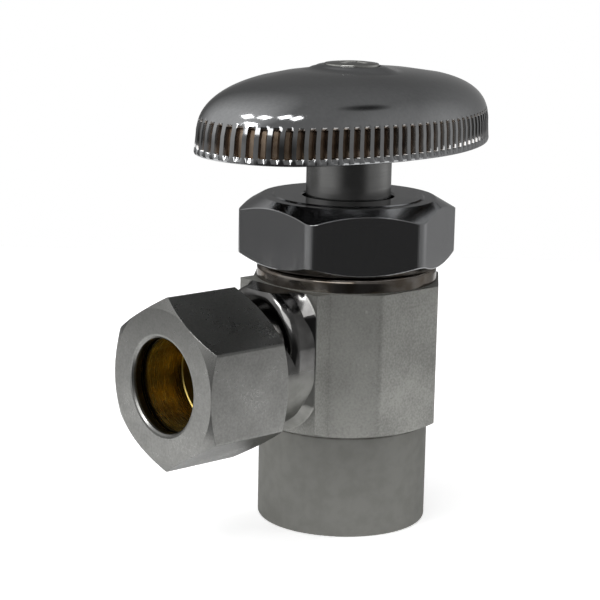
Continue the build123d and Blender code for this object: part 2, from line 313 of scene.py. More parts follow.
def distance_from_axis(tree, place, axis, through):
    """Distance of each place from a straight axis along x, y or z through a point."""
    from_axis = node(tree, "VectorMath", {0: place, 1: through}, operation="SUBTRACT").outputs["Vector"]
    across = tuple(0.0 if direction == axis else 1.0 for direction in "xyz")
    flat = node(tree, "VectorMath", {0: from_axis, 1: across}, operation="MULTIPLY").outputs["Vector"]
    return node(tree, "VectorMath", {0: flat}, operation="LENGTH").outputs["Value"]


def stretched(tree, place, scale):
    """Place for a pattern that is stretched along the axes."""
    return node(tree, "Mapping", {"Vector": place, "Scale": scale}).outputs["Vector"]


def noise(tree, place, scale, detail):
    """Soft noise from nought to one, at a scale per metre."""
    return node(tree, "TexNoise", {"Vector": place, "Scale": scale, "Detail": detail}).outputs["Fac"]


def blend(tree, share, first, second):
    """Mix of two colours, by a share from nought to one."""
    return node(tree, "MixRGB", {"Fac": share, "Color1": first, "Color2": second}).outputs[0]


def between(tree, share, first, second):
    """Mix of two numbers. The Mix node keeps its sockets 0, 2 and 3 for them."""
    return node(tree, "Mix", {0: share, 2: first, 3: second}).outputs[0]


def two_tone(tree, value, dull, clean):
    """Colour that goes from dull to clean with a value."""
    return ramp(tree, value, (tone_stops[0], dull), (tone_stops[1], clean))


# %% [markdown]
# Bare brass shows where plating does not reach, inside the bores. It is golden with streaks from the
# tool, painted darker as shade deep in the outlet, and black with a painted shadow just behind the
# outlet nut's lip. One function gives the colour, so that the ferrule and the bores match.

# %% Brass colour
# Painted shade: the brass darkens deep in the outlet, and a painted shadow lies behind the nut's lip.
deep_shade_reach = (-20.4 * MM, -19.5 * MM)
lip_shadow_reach = (-23.45 * MM, -23.15 * MM)
brass_streak = (220, 900, 900)
brass_dull = (0.7, 0.56, 0.2)
brass_clean = (0.93, 0.79, 0.36)
brass_deep_shade = (0.47, 0.36, 0.11, 1)
brass_lip_shadow = (0.06, 0.048, 0.022, 1)


def bare_brass(tree, place):
    """Golden colour with streaks from the tool, painted shade deep in the outlet and behind its lip."""
    cloud = noise(tree, stretched(tree, place, brass_streak), 1.0, detail=4.0)
    golden = ramp(tree, cloud, (0.3, brass_dull), (0.7, brass_clean))
    along = coordinate(tree, place, "X")
    # Painted shade deep in the outlet, then a painted shadow behind the nut's lip.
    deep_shaded = blend(tree, mapped(tree, along, *deep_shade_reach), golden, brass_deep_shade)
    return blend(tree, mapped(tree, along, *lip_shadow_reach, 1, 0), deep_shaded, brass_lip_shadow)


print("brass goes from", brass_dull, "to", brass_clean)

# %% [markdown]
# Nearly every surface that shows is chrome plate. One function makes them all: a clouded colour, a fine
# grain that varies the roughness, a bump of grain and of small pits, and a stretch that lays the grain
# along the tool marks. Patches with a colour and a roughness of their own are laid over it.

# %% Chrome plate
edge_tint = (0.55, 0.55, 0.55, 1)
cloud_scale = 260.0
cloud_share = 0.45
haze_stops = (0.35, 0.65)
patch_relief = 0.1
pit_scale = 750.0
pit_reach = (0.16, 0.04)
pit_field_scale = 420.0
pit_field = (0.55, 0.62)


def plated_metal(name, clean, dull, rough, grain, pit_depth, lay=(1, 1, 1), patches=()):
    """Chrome plate: two colours, a roughness range, (grain per metre, height) and the grain's lay.

    Each patch is (where it lies, its colour, its roughness), and it is smooth."""
    grain_scale, grain_height = grain
    material, tree, surface, place = new_finish(name, 1.0)
    surface.inputs["Specular Tint"].default_value = edge_tint
    fine = noise(tree, stretched(tree, place, lay), grain_scale, detail=4.0)
    clouds = maths(tree, "MULTIPLY", noise(tree, place, cloud_scale, detail=5.0), cloud_share)
    speck = maths(tree, "ADD", clouds, maths(tree, "MULTIPLY", fine, 1 - cloud_share))
    colour = two_tone(tree, speck, dull, clean)
    haze = mapped(tree, speck, *haze_stops, rough[1], rough[0])
    relief = 1.0
    for where, paint, patch_rough in patches:
        mask = where(tree, place)
        colour = blend(tree, mask, colour, paint(tree, place))
        haze = between(tree, mask, haze, patch_rough)
        relief = maths(tree, "MULTIPLY", relief, mapped(tree, mask, 0, 1, 1, patch_relief))
    tree.links.new(colour, surface.inputs["Base Color"])
    tree.links.new(haze, surface.inputs["Roughness"])

    cell = node(tree, "TexVoronoi", {"Vector": place, "Scale": pit_scale}).outputs["Distance"]
    field = mapped(tree, noise(tree, place, pit_field_scale, detail=2.0), *pit_field)
    pit = maths(tree, "MULTIPLY", mapped(tree, cell, *pit_reach), field)
    grain_bump = {"Height": fine, "Strength": relief, "Distance": grain_height}
    grainy = node(tree, "Bump", grain_bump).outputs["Normal"]
    pit_bump = {"Height": pit, "Strength": relief, "Distance": pit_depth, "Normal": grainy}
    pitted = node(tree, "Bump", pit_bump, invert=True).outputs["Normal"]
    tree.links.new(pitted, surface.inputs["Normal"])
    print("finish", name, "with", len(patches), "patches")
    return material


# %% [markdown]
# A patch is a part of a piece whose plate differs: the branch and the collar are polished while the
# barrel is satin, the bores are bare brass, and grime makes the handle's flutes brown. The corner
# under the barrel is painted shade, and the inlet cup is a darker satin with painted shade in it too.
# Where a patch lies is worked out from the place on the piece, or from a value that its mesh carries.
# Splitting the pieces instead would leave seams that the real forging does not have.

# %% Where the body's patches lie
outlet_height = 18.18
outlet_axis = (0, 0, outlet_height * MM)
inlet_mouth = (0, 0, 0)
cup_reach = (8.03 * MM, 8.1 * MM)
cup_top = (29.3 * MM, 29.4 * MM)
socket_reach = (4.9 * MM, 5.0 * MM)
socket_start = (-13.9 * MM, -13.2 * MM)
seat_reach = (6.44 * MM, 6.5 * MM)
seat_start = (-18.3 * MM, -18.2 * MM)
branch_start = (-9.9 * MM, -9.7 * MM)
branch_upper = (17.6 * MM, 19.6 * MM)
collar_start = (26.62 * MM, 26.7 * MM)
inlet_end = (10.9 * MM, 11.0 * MM)
foot_low = (10.75 * MM, 10.95 * MM)
foot_high = (11.0 * MM, 11.12 * MM)


def body_bores(tree, place):
    """Where the body is bare brass: in the tube cup, and in the outlet's socket and cone seat."""
    in_cup = mapped(tree, distance_from_axis(tree, place, "z", inlet_mouth), *cup_reach, 1, 0)
    low = mapped(tree, coordinate(tree, place, "Z"), *cup_top, 1, 0)
    cup = maths(tree, "MULTIPLY", in_cup, low)
    from_outlet = distance_from_axis(tree, place, "x", outlet_axis)
    along = coordinate(tree, place, "X")
    in_socket = mapped(tree, from_outlet, *socket_reach, 1, 0)
    socket = maths(tree, "MULTIPLY", in_socket, mapped(tree, along, *socket_start, 1, 0))
    in_seat = mapped(tree, from_outlet, *seat_reach, 1, 0)
    seat = maths(tree, "MULTIPLY", in_seat, mapped(tree, along, *seat_start, 1, 0))
    return maths(tree, "MAXIMUM", cup, maths(tree, "MAXIMUM", socket, seat))


def body_branch(tree, place):
    """Where the body's branch lies, beyond its pad."""
    return mapped(tree, coordinate(tree, place, "X"), *branch_start, 1, 0)


def body_branch_top(tree, place):
    """Where the body is polished: on the upper half of the branch."""
    above = mapped(tree, coordinate(tree, place, "Z"), *branch_upper)
    return maths(tree, "MULTIPLY", body_branch(tree, place), above)


def body_collar(tree, place):
    """Where the body is polished: on the collar above the barrel."""
    return mapped(tree, coordinate(tree, place, "Z"), *collar_start)


def body_inlet(tree, place):
    """Where the body is turned and a little darker, partly as painted shade: on the cup below the
    barrel.
    """
    return mapped(tree, coordinate(tree, place, "Z"), *inlet_end, 1, 0)


def body_foot_shade(tree, place):
    """Where the body is painted darker as shade: in the corner under the barrel."""
    height = coordinate(tree, place, "Z")
    below = mapped(tree, height, *foot_high, 1, 0)
    return maths(tree, "MULTIPLY", mapped(tree, height, *foot_low), below)


print("outlet axis", outlet_height, "mm above the inlet's mouth")

# %% [markdown]
# The outlet nut is plated outside and bare in its thread, and its lip is the border. The flutes could
# be found from the outline again, but the handle's mesh knows which of its vertices lie in a flute, so
# it carries that as an attribute and the material reads it.

# %% Where the nut's and the handle's patches lie
nut_bore_reach = (7.25 * MM, 7.4 * MM)
nut_lip = (-24.75 * MM, -24.55 * MM)
nut_mouth = (-17.5 * MM, -16.5 * MM)


def nut_bore(tree, place):
    """Where the outlet nut is bare brass: behind its plated lip."""
    inside = mapped(tree, distance_from_axis(tree, place, "x", outlet_axis), *nut_bore_reach, 1, 0)
    along = coordinate(tree, place, "X")
    deep = maths(tree, "MULTIPLY", mapped(tree, along, *nut_lip), mapped(tree, along, *nut_mouth, 1, 0))
    return maths(tree, "MULTIPLY", inside, deep)


def handle_flutes(tree, place):
    """Where the handle's flutes are: a value that its mesh carries."""
    return node(tree, "Attribute", attribute_name="flute").outputs["Fac"]


# %% [markdown]
# Each patch now gets its colours and its roughness, and each plated piece its finish. Satin faces are
# rough and pale, the packing nut and the handle are polished and dark, and the stem's grain lies in
# rings, as a lathe leaves it. The order of the body's patches matters: a later one covers an earlier.

# %% Plated finishes
patch_cloud_scale = 700.0


def clouded(dull, clean):
    """Colour of a patch that varies between two colours."""
    def paint(tree, place):
        return two_tone(tree, noise(tree, place, patch_cloud_scale, detail=4.0), dull, clean)
    return paint


# The inlet cup is a darker satin, and its colour also holds painted shade.
inlet_satin_and_shade = (body_inlet, clouded((0.215, 0.215, 0.2), (0.24, 0.24, 0.225)), 0.6)
# The foot band is painted shade in the corner under the barrel.
foot_shade_patch = (body_foot_shade, clouded((0.06, 0.058, 0.05), (0.14, 0.138, 0.128)), 0.6)
branch_satin = (body_branch, clouded((0.2, 0.2, 0.188), (0.26, 0.26, 0.246)), 0.45)
branch_polish = (body_branch_top, clouded((0.12, 0.118, 0.115), (0.17, 0.168, 0.165)), 0.15)
collar_polish = (body_collar, clouded((0.16, 0.135, 0.11), (0.25, 0.23, 0.21)), 0.14)
body_brass = (body_bores, bare_brass, 0.35)
nut_brass = (nut_bore, bare_brass, 0.35)
flute_grime = (handle_flutes, clouded((0.2, 0.146, 0.102), (0.34, 0.265, 0.2)), 0.42)

body_plate = plated_metal(
    "satin_plate", clean=(0.415, 0.415, 0.392), dull=(0.3, 0.3, 0.283), rough=(0.54, 0.64),
    grain=(4200.0, 5e-6), pit_depth=4e-5,
    patches=(inlet_satin_and_shade, foot_shade_patch, branch_satin, branch_polish, collar_polish, body_brass))
packing_nut_plate = plated_metal(
    "dark_plate", clean=(0.4, 0.403, 0.41), dull=(0.35, 0.353, 0.357), rough=(0.12, 0.2),
    grain=(3000.0, 1.2e-6), pit_depth=6e-6, lay=(1, 1, 0.2))
stem_plate = plated_metal(
    "turned_plate", clean=(0.34, 0.34, 0.335), dull=(0.29, 0.29, 0.285), rough=(0.17, 0.27),
    grain=(900.0, 1.5e-6), pit_depth=1.2e-5, lay=(0.2, 0.2, 6))
handle_plate = plated_metal(
    "handle_plate", clean=(0.37, 0.375, 0.38), dull=(0.33, 0.335, 0.34), rough=(0.07, 0.12),
    grain=(2600.0, 1.0e-6), pit_depth=4e-6, patches=(flute_grime,))
screw_plate = plated_metal(
    "screw_plate", clean=(0.5, 0.5, 0.48), dull=(0.4, 0.4, 0.38), rough=(0.1, 0.18),
    grain=(3000.0, 1.5e-6), pit_depth=5e-6)
nut_plate = plated_metal(
    "nut_plate", clean=(0.25, 0.25, 0.24), dull=(0.195, 0.195, 0.187), rough=(0.26, 0.36),
    grain=(4000.0, 0.8e-6), pit_depth=0.0, patches=(nut_brass,))

# %% [markdown]
# The pieces that stay bare or soft have finishes of their own: turned brass for the ferrule, the
# washers and the seat screw, black rubber for the seat washer, and a pressed grey packing ring. The
# hidden pieces keep their solids as they are and only get a finish, since no view shows their edges.

# %% Bare and soft finishes
tool_marks = (6000, 400, 400)
tool_mark_height = 3e-7
mould_grain_height = 1e-5


def turned_brass(name):
    """Brass with fine tool marks."""
    material, tree, surface, place = new_finish(name, 1.0)
    fine = noise(tree, stretched(tree, place, tool_marks), 1.0, detail=3.0)
    marks = node(tree, "Bump", {"Height": fine, "Strength": 1.0, "Distance": tool_mark_height})
    tree.links.new(bare_brass(tree, place), surface.inputs["Base Color"])
    tree.links.new(mapped(tree, fine, 0.3, 0.7, 0.2, 0.32), surface.inputs["Roughness"])
    tree.links.new(marks.outputs["Normal"], surface.inputs["Normal"])
    return material


def moulded(name, dark, light, grain):
    """Dull moulded material with a fine speckle."""
    material, tree, surface, place = new_finish(name, 0.0)
    speck = noise(tree, place, grain, detail=5.0)
    rough = node(tree, "Bump", {"Height": speck, "Strength": 1.0, "Distance": mould_grain_height})
    tree.links.new(ramp(tree, speck, (0.35, dark), (0.68, light)), surface.inputs["Base Color"])
    tree.links.new(mapped(tree, speck, 0.3, 0.7, 0.55, 0.8), surface.inputs["Roughness"])
    tree.links.new(rough.outputs["Normal"], surface.inputs["Normal"])
    return material


brass = turned_brass("turned_brass")
rubber = moulded("black_rubber", (0.012, 0.012, 0.012), (0.03, 0.03, 0.03), 3500.0)
packing = moulded("pressed_packing", (0.06, 0.06, 0.058), (0.2, 0.2, 0.19), 5000.0)
solid_finishes = {
    "packing_washer": brass,
    "gland_washer": brass,
    "seat_screw": brass,
    "stem_packing": packing,
    "stem": stem_plate,
}
for solid, finish in solid_finishes.items():
    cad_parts[solid].data.materials[0] = finish
print("solids that only get a finish:", ", ".join(solid_finishes))

# %% [markdown]
# Every new piece ends the same way. Doubles are merged, the faces turned outwards and the sharp edges
# marked, the mesh is scaled to metres, and the object rides on the body that carries it. A modifier
# evens the normals, so that large flat faces shade flat beside their small roundings.

# %% Piece helper
merge_distance = 0.0005
hard_edge_angle = 30


def make_piece(name, bm, body, finish, replaces=None, sharp=35):
    """Object from a bmesh in millimetres, riding on a body."""
    bmesh.ops.remove_doubles(bm, verts=bm.verts, dist=merge_distance)
    bmesh.ops.recalc_face_normals(bm, faces=bm.faces)
    bmesh.ops.scale(bm, vec=(MM, MM, MM), verts=bm.verts)
    for face in bm.faces:
        face.smooth = True
    for edge in bm.edges:
        edge.smooth = edge.calc_face_angle(0) < radians(sharp)
    mesh = bpy.data.meshes.new(name)
    bm.to_mesh(mesh)
    bm.free()
    # A copy of a solid brings its own normals along, and the marked edges take their place.
    if "custom_normal" in mesh.attributes:
        mesh.attributes.remove(mesh.attributes["custom_normal"])
    piece = bpy.data.objects.new(name, mesh)
    bpy.context.scene.collection.objects.link(piece)
    mesh.materials.append(finish)
    evener = piece.modifiers.new("even_normals", "WEIGHTED_NORMAL")
    evener.keep_sharp = True
    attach(piece, body)
    if replaces:
        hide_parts(replaces)
    print(name, "has", len(mesh.polygons), "faces")


# %% [markdown]
# Nuts are turned bar with flats. A closed half section is spun into a round piece with its holes and
# bevelled ends, and a plane then slices off each flat. The slices meet the bevels in the curved lines
# that every real nut shows, which a bevelled prism would not give. A corner is rounded by narrow slices.

# %% Turned pieces and flats
cut_tolerance = 0.0001


def turned(section, steps=96):
    """Round piece about z from a closed half section of (radius, height) points."""
    bm = bmesh.new()
    points = [bm.verts.new((radius, 0, height)) for radius, height in section]
    edges = [bm.edges.new((points[place - 1], points[place])) for place in range(len(points))]
    bmesh.ops.spin(bm, geom=points + edges, cent=(0, 0, 0), axis=(0, 0, 1), dvec=(0, 0, 0),
                   angle=2 * pi, steps=steps, use_merge=True, use_duplicate=False)
    bmesh.ops.remove_doubles(bm, verts=bm.verts, dist=merge_distance)
    bmesh.ops.recalc_face_normals(bm, faces=bm.faces)
    return bm


def slice_flat(bm, angle, distance):
    """Cuts one flat on a turned piece and closes the cut with one face."""
    outwards = Vector((cos(angle), sin(angle), 0))
    everything = bm.verts[:] + bm.edges[:] + bm.faces[:]
    cut = bmesh.ops.bisect_plane(bm, geom=everything, dist=cut_tolerance, plane_co=outwards * distance,
                                 plane_no=outwards, clear_outer=True)
    rim = [part for part in cut["geom_cut"] if isinstance(part, bmesh.types.BMEdge)]
    bmesh.ops.edgeloop_fill(bm, edges=rim)


def slice_hexagon(bm, flats, first_corner, corner_round, corner_steps):
    """Cuts six flats, and narrow facets between them that follow a rounding of the corners."""
    middle = (flats / 2 - corner_round) / cos(pi / 6)
    for corner in range(6):
        turn = radians(first_corner) + corner * pi / 3
        slice_flat(bm, turn + pi / 6, flats / 2)
        for step in range(1, corner_steps):
            tilt = (step / corner_steps - 0.5) * pi / 3
            slice_flat(bm, turn + tilt, middle * cos(tilt) + corner_round)


def soften(bm, least_angle, width, segments=2):
    """Rounds the edges whose faces turn by more than an angle, over a small width."""
    edges = [edge for edge in bm.edges if edge.calc_face_angle(0) > radians(least_angle)]
    bmesh.ops.bevel(bm, geom=edges, offset=width, offset_type="OFFSET", segments=segments, profile=0.5,
                    affect="EDGES", material=-1, clamp_overlap=True)


# %% [markdown]
# The packing nut closes the top of the body round the stem. Its corners are turned to bevels at both
# ends and rounded along their length, where the plate shines in narrow upright strips. A low ring on
# its top face is left from turning.

# %% Packing nut
nut_spin_steps = 144
nut_edge_angle = 40
nut_facet_angle = 5
bevel_slope = tan(radians(30))
bonnet_flats = 20.9
bonnet_low = 28.4
bonnet_high = 35.55
bonnet_turn = 28.35
bonnet_corner_round = 1.6
bonnet_corner_steps = 10
bonnet_edge_round = 0.06
bonnet_top_radius = 9.4
bonnet_foot_radius = 10.1
bonnet_ring_radius = 8.1
bonnet_ring_step = 0.12
bonnet_ring_slope = 0.1
bonnet_roof = 33.05
bonnet_bore = 8.3
stem_hole = 4.915
stem_hole_break = 0.15
bonnet_corner = bonnet_flats / sqrt(3)
bonnet_shelf = bonnet_high - bonnet_ring_step
bm = turned([
    (stem_hole, bonnet_high - stem_hole_break),
    (stem_hole + stem_hole_break, bonnet_high),
    (bonnet_ring_radius - bonnet_ring_slope, bonnet_high),
    (bonnet_ring_radius + bonnet_ring_slope, bonnet_shelf),
    (bonnet_top_radius, bonnet_shelf),
    (bonnet_corner, bonnet_shelf - (bonnet_corner - bonnet_top_radius) * bevel_slope),
    (bonnet_corner, bonnet_low + (bonnet_corner - bonnet_foot_radius) * bevel_slope),
    (bonnet_foot_radius, bonnet_low),
    (bonnet_bore, bonnet_low),
    (bonnet_bore, bonnet_roof),
    (stem_hole, bonnet_roof),
], steps=nut_spin_steps)
slice_hexagon(bm, bonnet_flats, bonnet_turn, bonnet_corner_round, bonnet_corner_steps)
soften(bm, nut_edge_angle, bonnet_edge_round)
make_piece("packing_nut_plated", bm, "body", packing_nut_plate, "packing_nut",
           sharp=nut_facet_angle)

# %% [markdown]
# The outlet nut holds the ferrule on the tube. It is modelled upright like the packing nut and then
# laid onto the outlet axis, corner up, with a quarter turn about y. The rounded lip of its hole is a
# few points of the section, given as shares of the rounding.

# %% Outlet nut
nut_flats = 15.875
nut_back = 15.0
nut_front = 25.09
nut_face = 7.95
nut_corner_round = 0.35
nut_corner_steps = 6
nut_edge_round = 0.1
nut_hole = 4.9125
nut_hole_round = 0.45
nut_lip_curve = ((0, 1), (0.12, 0.5), (0.5, 0.12), (1, 0))
nut_thread_bore = 7.22
nut_cone_top = 23.99
nut_corner = nut_flats / sqrt(3)
nut_drop = (nut_corner - nut_face) * bevel_slope


def lay_on_outlet(bm):
    """Turns a piece modelled along z onto the outlet axis, which runs along minus x."""
    quarter = Matrix.Rotation(radians(-90), 3, "Y")
    bmesh.ops.rotate(bm, verts=bm.verts, cent=(0, 0, 0), matrix=quarter)
    bmesh.ops.translate(bm, verts=bm.verts, vec=(0, 0, outlet_height))


lip = []
for out, down in nut_lip_curve:
    lip.append((nut_hole + nut_hole_round * out, nut_front - nut_hole_round * down))
bm = turned(lip + [
    (nut_face, nut_front),
    (nut_corner, nut_front - nut_drop),
    (nut_corner, nut_back + nut_drop),
    (nut_face, nut_back),
    (nut_thread_bore, nut_back),
    (nut_thread_bore, nut_cone_top - (nut_thread_bore - nut_hole)),
    (nut_hole, nut_cone_top),
], steps=nut_spin_steps)
slice_hexagon(bm, nut_flats, 0, nut_corner_round, nut_corner_steps)
soften(bm, nut_edge_angle, nut_edge_round)
lay_on_outlet(bm)
make_piece("outlet_nut_plated", bm, "outlet_nut", nut_plate, "compression_nut",
           sharp=nut_facet_angle)

# %% [markdown]
# The ferrule is a brass sleeve with a cone at each end. The nut presses it onto the tube and into the
# seat of the branch. Its bore is the gold that shows through the nut, so it is turned from a section
# with a thin nose and slightly rounded edges, which a plain ring would not have.

# %% Ferrule
ferrule_low = 18.75
ferrule_high = 23.55
ferrule_bore = 4.8425
ferrule_nose_wall = 0.06
ferrule_wall = 1.45
ferrule_blunt = 0.3
ferrule_edge_round = 0.06
ferrule_nose = ferrule_bore + ferrule_nose_wall
ferrule_outside = ferrule_bore + ferrule_wall
bm = turned([
    (ferrule_bore, ferrule_low),
    (ferrule_nose, ferrule_low),
    (ferrule_outside, ferrule_low + ferrule_outside - ferrule_nose),
    (ferrule_outside, ferrule_high - ferrule_outside + ferrule_bore + ferrule_blunt),
    (ferrule_bore + ferrule_blunt, ferrule_high),
    (ferrule_bore, ferrule_high),
])
soften(bm, hard_edge_angle, ferrule_edge_round)
lay_on_outlet(bm)
make_piece("ferrule_turned", bm, "ferrule", brass, "ferrule")

# %% [markdown]
# The body is one forging, and its solid already has the right form. A merged copy of it is used, its
# flat triangles are dissolved into whole faces, and every hard edge is rounded a little, because a
# forging has no knife edges and the plate would show none. The outlet's end is taken down to the root
# of its thread, which is added next.

# %% Body
thread_crest = 7.1
thread_root = 6.55
thread_low = 16.4
thread_margin = 0.15
body_edge_angle = 28
body_edge_round = 0.12
copy_merge_distance = 0.001
flat_limit = radians(0.5)


def merged_copy(name):
    """Copy of a solid's mesh in millimetres, with its triangles joined into whole flat faces."""
    bm = bmesh.new()
    bm.from_mesh(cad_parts[name].data)
    bmesh.ops.scale(bm, vec=(1 / MM, 1 / MM, 1 / MM), verts=bm.verts)
    bmesh.ops.remove_doubles(bm, verts=bm.verts, dist=copy_merge_distance)
    bmesh.ops.dissolve_limit(bm, angle_limit=flat_limit, verts=bm.verts, edges=bm.edges)
    return bm


bm = merged_copy("valve_body")
soften(bm, body_edge_angle, body_edge_round)
for vertex in bm.verts:
    from_axis = hypot(vertex.co.y, vertex.co.z - outlet_height)
    if from_axis > thread_root and -vertex.co.x > thread_low - thread_margin:
        vertex.co.y *= thread_root / from_axis
        vertex.co.z = outlet_height + (vertex.co.z - outlet_height) * thread_root / from_axis
make_piece("body_plated", bm, "body", body_plate, "valve_body")

# %% [markdown]
# The outlet thread shows when the nut is backed off. One tooth section is spun along the axis as a
# helix, as a die would cut it, and sunk a little into the root so that no gap shows. A stack of rings
# would be simpler, but a screw that does not climb looks wrong as soon as it turns.

# %% Outlet thread
thread_pitch = 1.058
thread_turns = 3
turn_steps = 64
thread_sunk = 0.05
thread_lead_in = 0.05
tooth_share = 0.9
crest_share = 0.2
thread_facet_angle = 25
tooth_half = thread_pitch * tooth_share / 2
crest_half = thread_pitch * crest_share / 2
first_tooth = thread_low + tooth_half + thread_lead_in
tooth_section = (
    (thread_root - thread_sunk, first_tooth - tooth_half),
    (thread_crest, first_tooth - crest_half),
    (thread_crest, first_tooth + crest_half),
    (thread_root - thread_sunk, first_tooth + tooth_half),
)
bm = bmesh.new()
tooth = [bm.verts.new((radius, 0, height)) for radius, height in tooth_section]
face = bm.faces.new(tooth)
bmesh.ops.spin(bm, geom=[face] + face.edges[:] + tooth, cent=(0, 0, 0), axis=(0, 0, 1),
               dvec=(0, 0, thread_pitch / turn_steps), angle=2 * pi * thread_turns,
               steps=turn_steps * thread_turns, use_merge=False, use_duplicate=False)
open_edges = [edge for edge in bm.edges if edge.is_boundary]
bmesh.ops.holes_fill(bm, edges=open_edges)
lay_on_outlet(bm)
make_piece("outlet_thread", bm, "body", body_plate, sharp=thread_facet_angle)

# %% [markdown]
# The handle is a hollow oval die casting with a fluted band. Its outline is four arcs, two tight ones
# at the ends and two wide ones along the sides, which meet without a kink. It is divided evenly along
# its length into columns, so that every flute has the same width, on the ends as on the sides.

# %% Handle outline
handle_half_length = 22.5
handle_half_width = 12.15
handle_end_radius = 8.0
flute_count = 87
columns_per_flute = 8
columns = flute_count * columns_per_flute

end_reach = handle_half_length - handle_end_radius
end_spare = handle_half_width - handle_end_radius
side_depth = (end_reach ** 2 - end_spare ** 2) / (2 * end_spare)
side_radius = handle_half_width + side_depth
end_angle = atan2(side_depth, end_reach)
end_length = 2 * end_angle * handle_end_radius
side_length = (pi - 2 * end_angle) * side_radius
outline_length = 2 * (end_length + side_length)


def outline_point(column):
    """Place on the handle's oval outline and the direction outwards there, by distance along it."""
    along = column / columns * outline_length
    half = along // (end_length + side_length)
    along -= half * (end_length + side_length)
    if along < end_length:
        angle = along / handle_end_radius - end_angle
        place = Vector((end_reach, 0)) + handle_end_radius * Vector((cos(angle), sin(angle)))
    else:
        angle = (along - end_length) / side_radius + end_angle
        place = Vector((0, -side_depth)) + side_radius * Vector((cos(angle), sin(angle)))
    outwards = Vector((cos(angle), sin(angle)))
    return (-place, -outwards) if half else (place, outwards)


outline = [outline_point(column) for column in range(columns)]
print("handle outline", round(outline_length, 2), "mm round,", columns, "columns")

# %% [markdown]
# The handle is built from rings with one vertex a column. On the band a ring follows the outline, and
# flutes are columns pushed inwards. Over the crown it is a shrunken copy that climbs a rounded square,
# a section between an ellipse and a box, which starts upright on the band and comes in level at the
# boss. Round and square rings make the boss, the hub and the hole for the stem's drive.

# %% Handle ring helpers
rim_height = 40.95
crown_low = 42.45
handle_top = 49.03
crown_power = 2.74
draft = tan(radians(6))


def in_flute(column):
    """True for the columns that lie in a flute."""
    return column % columns_per_flute >= columns_per_flute / 2


def crown_share(height, low, high):
    """How far out a rounded crown reaches at a height, as a share of its base."""
    rise = max(height - low, 0) / (high - low)
    return (1 - rise ** crown_power) ** (1 / crown_power)


def band_ring(height, inset=0.0, flute=0.0):
    """Ring that follows the outline, set in by the draft and the crown, with flutes of some depth."""
    ring = []
    share = crown_share(height, crown_low, handle_top)
    for column, (place, outwards) in enumerate(outline):
        depth = inset + (min(height, crown_low) - rim_height) * draft
        depth += flute if in_flute(column) else 0.0
        x, y = place * share - outwards * depth
        ring.append((x, y, height))
    return ring


def dome_ring(base, share, rise, radius=None, roundness=1.0):
    """Ring on a dome over a base ring: a scaled copy of it, or one that nears a circle."""
    ring = []
    for x, y, low in base:
        reach = hypot(x, y)
        far = reach * share
        if radius is not None:
            far += (radius - far) * roundness
        height = low + rise * (1 - (far / reach) ** crown_power) ** (1 / crown_power)
        ring.append((x * far / reach, y * far / reach, height))
    return ring


def sloped_share(slope):
    """Share of the base where a crown has climbed to a slope of so many degrees."""
    return cos(radians(slope)) ** (2 / crown_power)


def round_ring(radius, height):
    """Level circle with the outline's columns."""
    directions = [place.normalized() for place, outwards in outline]
    return [(radius * way.x, radius * way.y, height) for way in directions]


def square_ring(half, height):
    """Level square with the outline's columns."""
    ring = []
    for place, outwards in outline:
        widest = max(abs(place.x), abs(place.y))
        ring.append((half * place.x / widest, half * place.y / widest, height))
    return ring


print("crown rises", round(handle_top - crown_low, 2), "mm over the band")

# %% [markdown]
# The first rings go from the screw's hole over the boss and down the dome. Round the boss they change
# from circles to the oval by degrees, so that no crease shows on the polished crown. Then follow many
# even steps of slope, which keep the reflections on the dome smooth.

# %% Boss and dome
head_hole = 3.0
head_hole_break = 0.12
boss_radius = 4.0
boss_top = 49.42
boss_falls = ((-0.6, 0.02), (-0.3, 0.1), (0.0, 0.24), (0.35, 0.34))
boss_spreads = ((0.0, 0.8, 1.0), (0.4, 1.6, 0.7), (0.52, 2.8, 0.35))
dome_steps = 26
first_slope = 56
last_slope = 15
dome_base = band_ring(crown_low)
dome_rise = handle_top - crown_low
rings = [
    round_ring(head_hole, boss_top - head_hole_break),
    round_ring(head_hole + head_hole_break, boss_top),
]
for beyond, fall in boss_falls:
    rings.append(round_ring(boss_radius + beyond, boss_top - fall))
for share, beyond, roundness in boss_spreads:
    rings.append(dome_ring(dome_base, share, dome_rise, boss_radius + beyond, roundness))
for step in range(dome_steps):
    slope = first_slope + (last_slope - first_slope) * step / dome_steps
    rings.append(dome_ring(dome_base, sloped_share(slope), dome_rise))
print("boss and dome:", len(rings), "rings")

# %% [markdown]
# The band carries the flutes. Each one runs out at both ends in a short slope, which catches the light
# as a bright dot, so a ring lies at the start and the end of every slope. Below the flutes the rim is
# rounded and turns in under the wall.

# %% Fluted band and rim
wall = 1.5
flute_low = 41.2
flute_high = 44.7
flute_depth = 0.6
flute_slope = 0.2
above_flutes = 0.25
top_run_out = 0.26
top_full_depth = 0.34
middle_rings = (1.2, 2.0)
low_full_depth = 0.5
low_run_out = 0.4
rim_round = 0.25
rim_bend_height = 0.3 * rim_round
rim_bend_inset = 0.29 * rim_round
rim_break = 0.2
rings += [
    band_ring(flute_high + above_flutes),
    band_ring(flute_high),
    band_ring(flute_high - top_run_out, flute=flute_slope),
    band_ring(flute_high - top_full_depth, flute=flute_depth),
]
rings += [band_ring(flute_high - below, flute=flute_depth) for below in middle_rings]
rings += [
    band_ring(flute_low + low_full_depth, flute=flute_depth),
    band_ring(flute_low + low_run_out, flute=flute_slope),
    band_ring(flute_low),
    band_ring(rim_height + rim_bend_height, rim_bend_inset),
    band_ring(rim_height, rim_round),
    band_ring(rim_height, wall - rim_break),
    band_ring(rim_height + rim_break, wall),
]
print("with the band and the rim:", len(rings), "rings")

# %% [markdown]
# Underneath, the casting is hollow, with a hub that holds the stem's square drive. The rings go up
# inside the wall, in to the hub, down round it, up the square hole and through the screw's hole, back
# to where they began. That makes one closed skin, which a solidified shell with a separate hub is not.

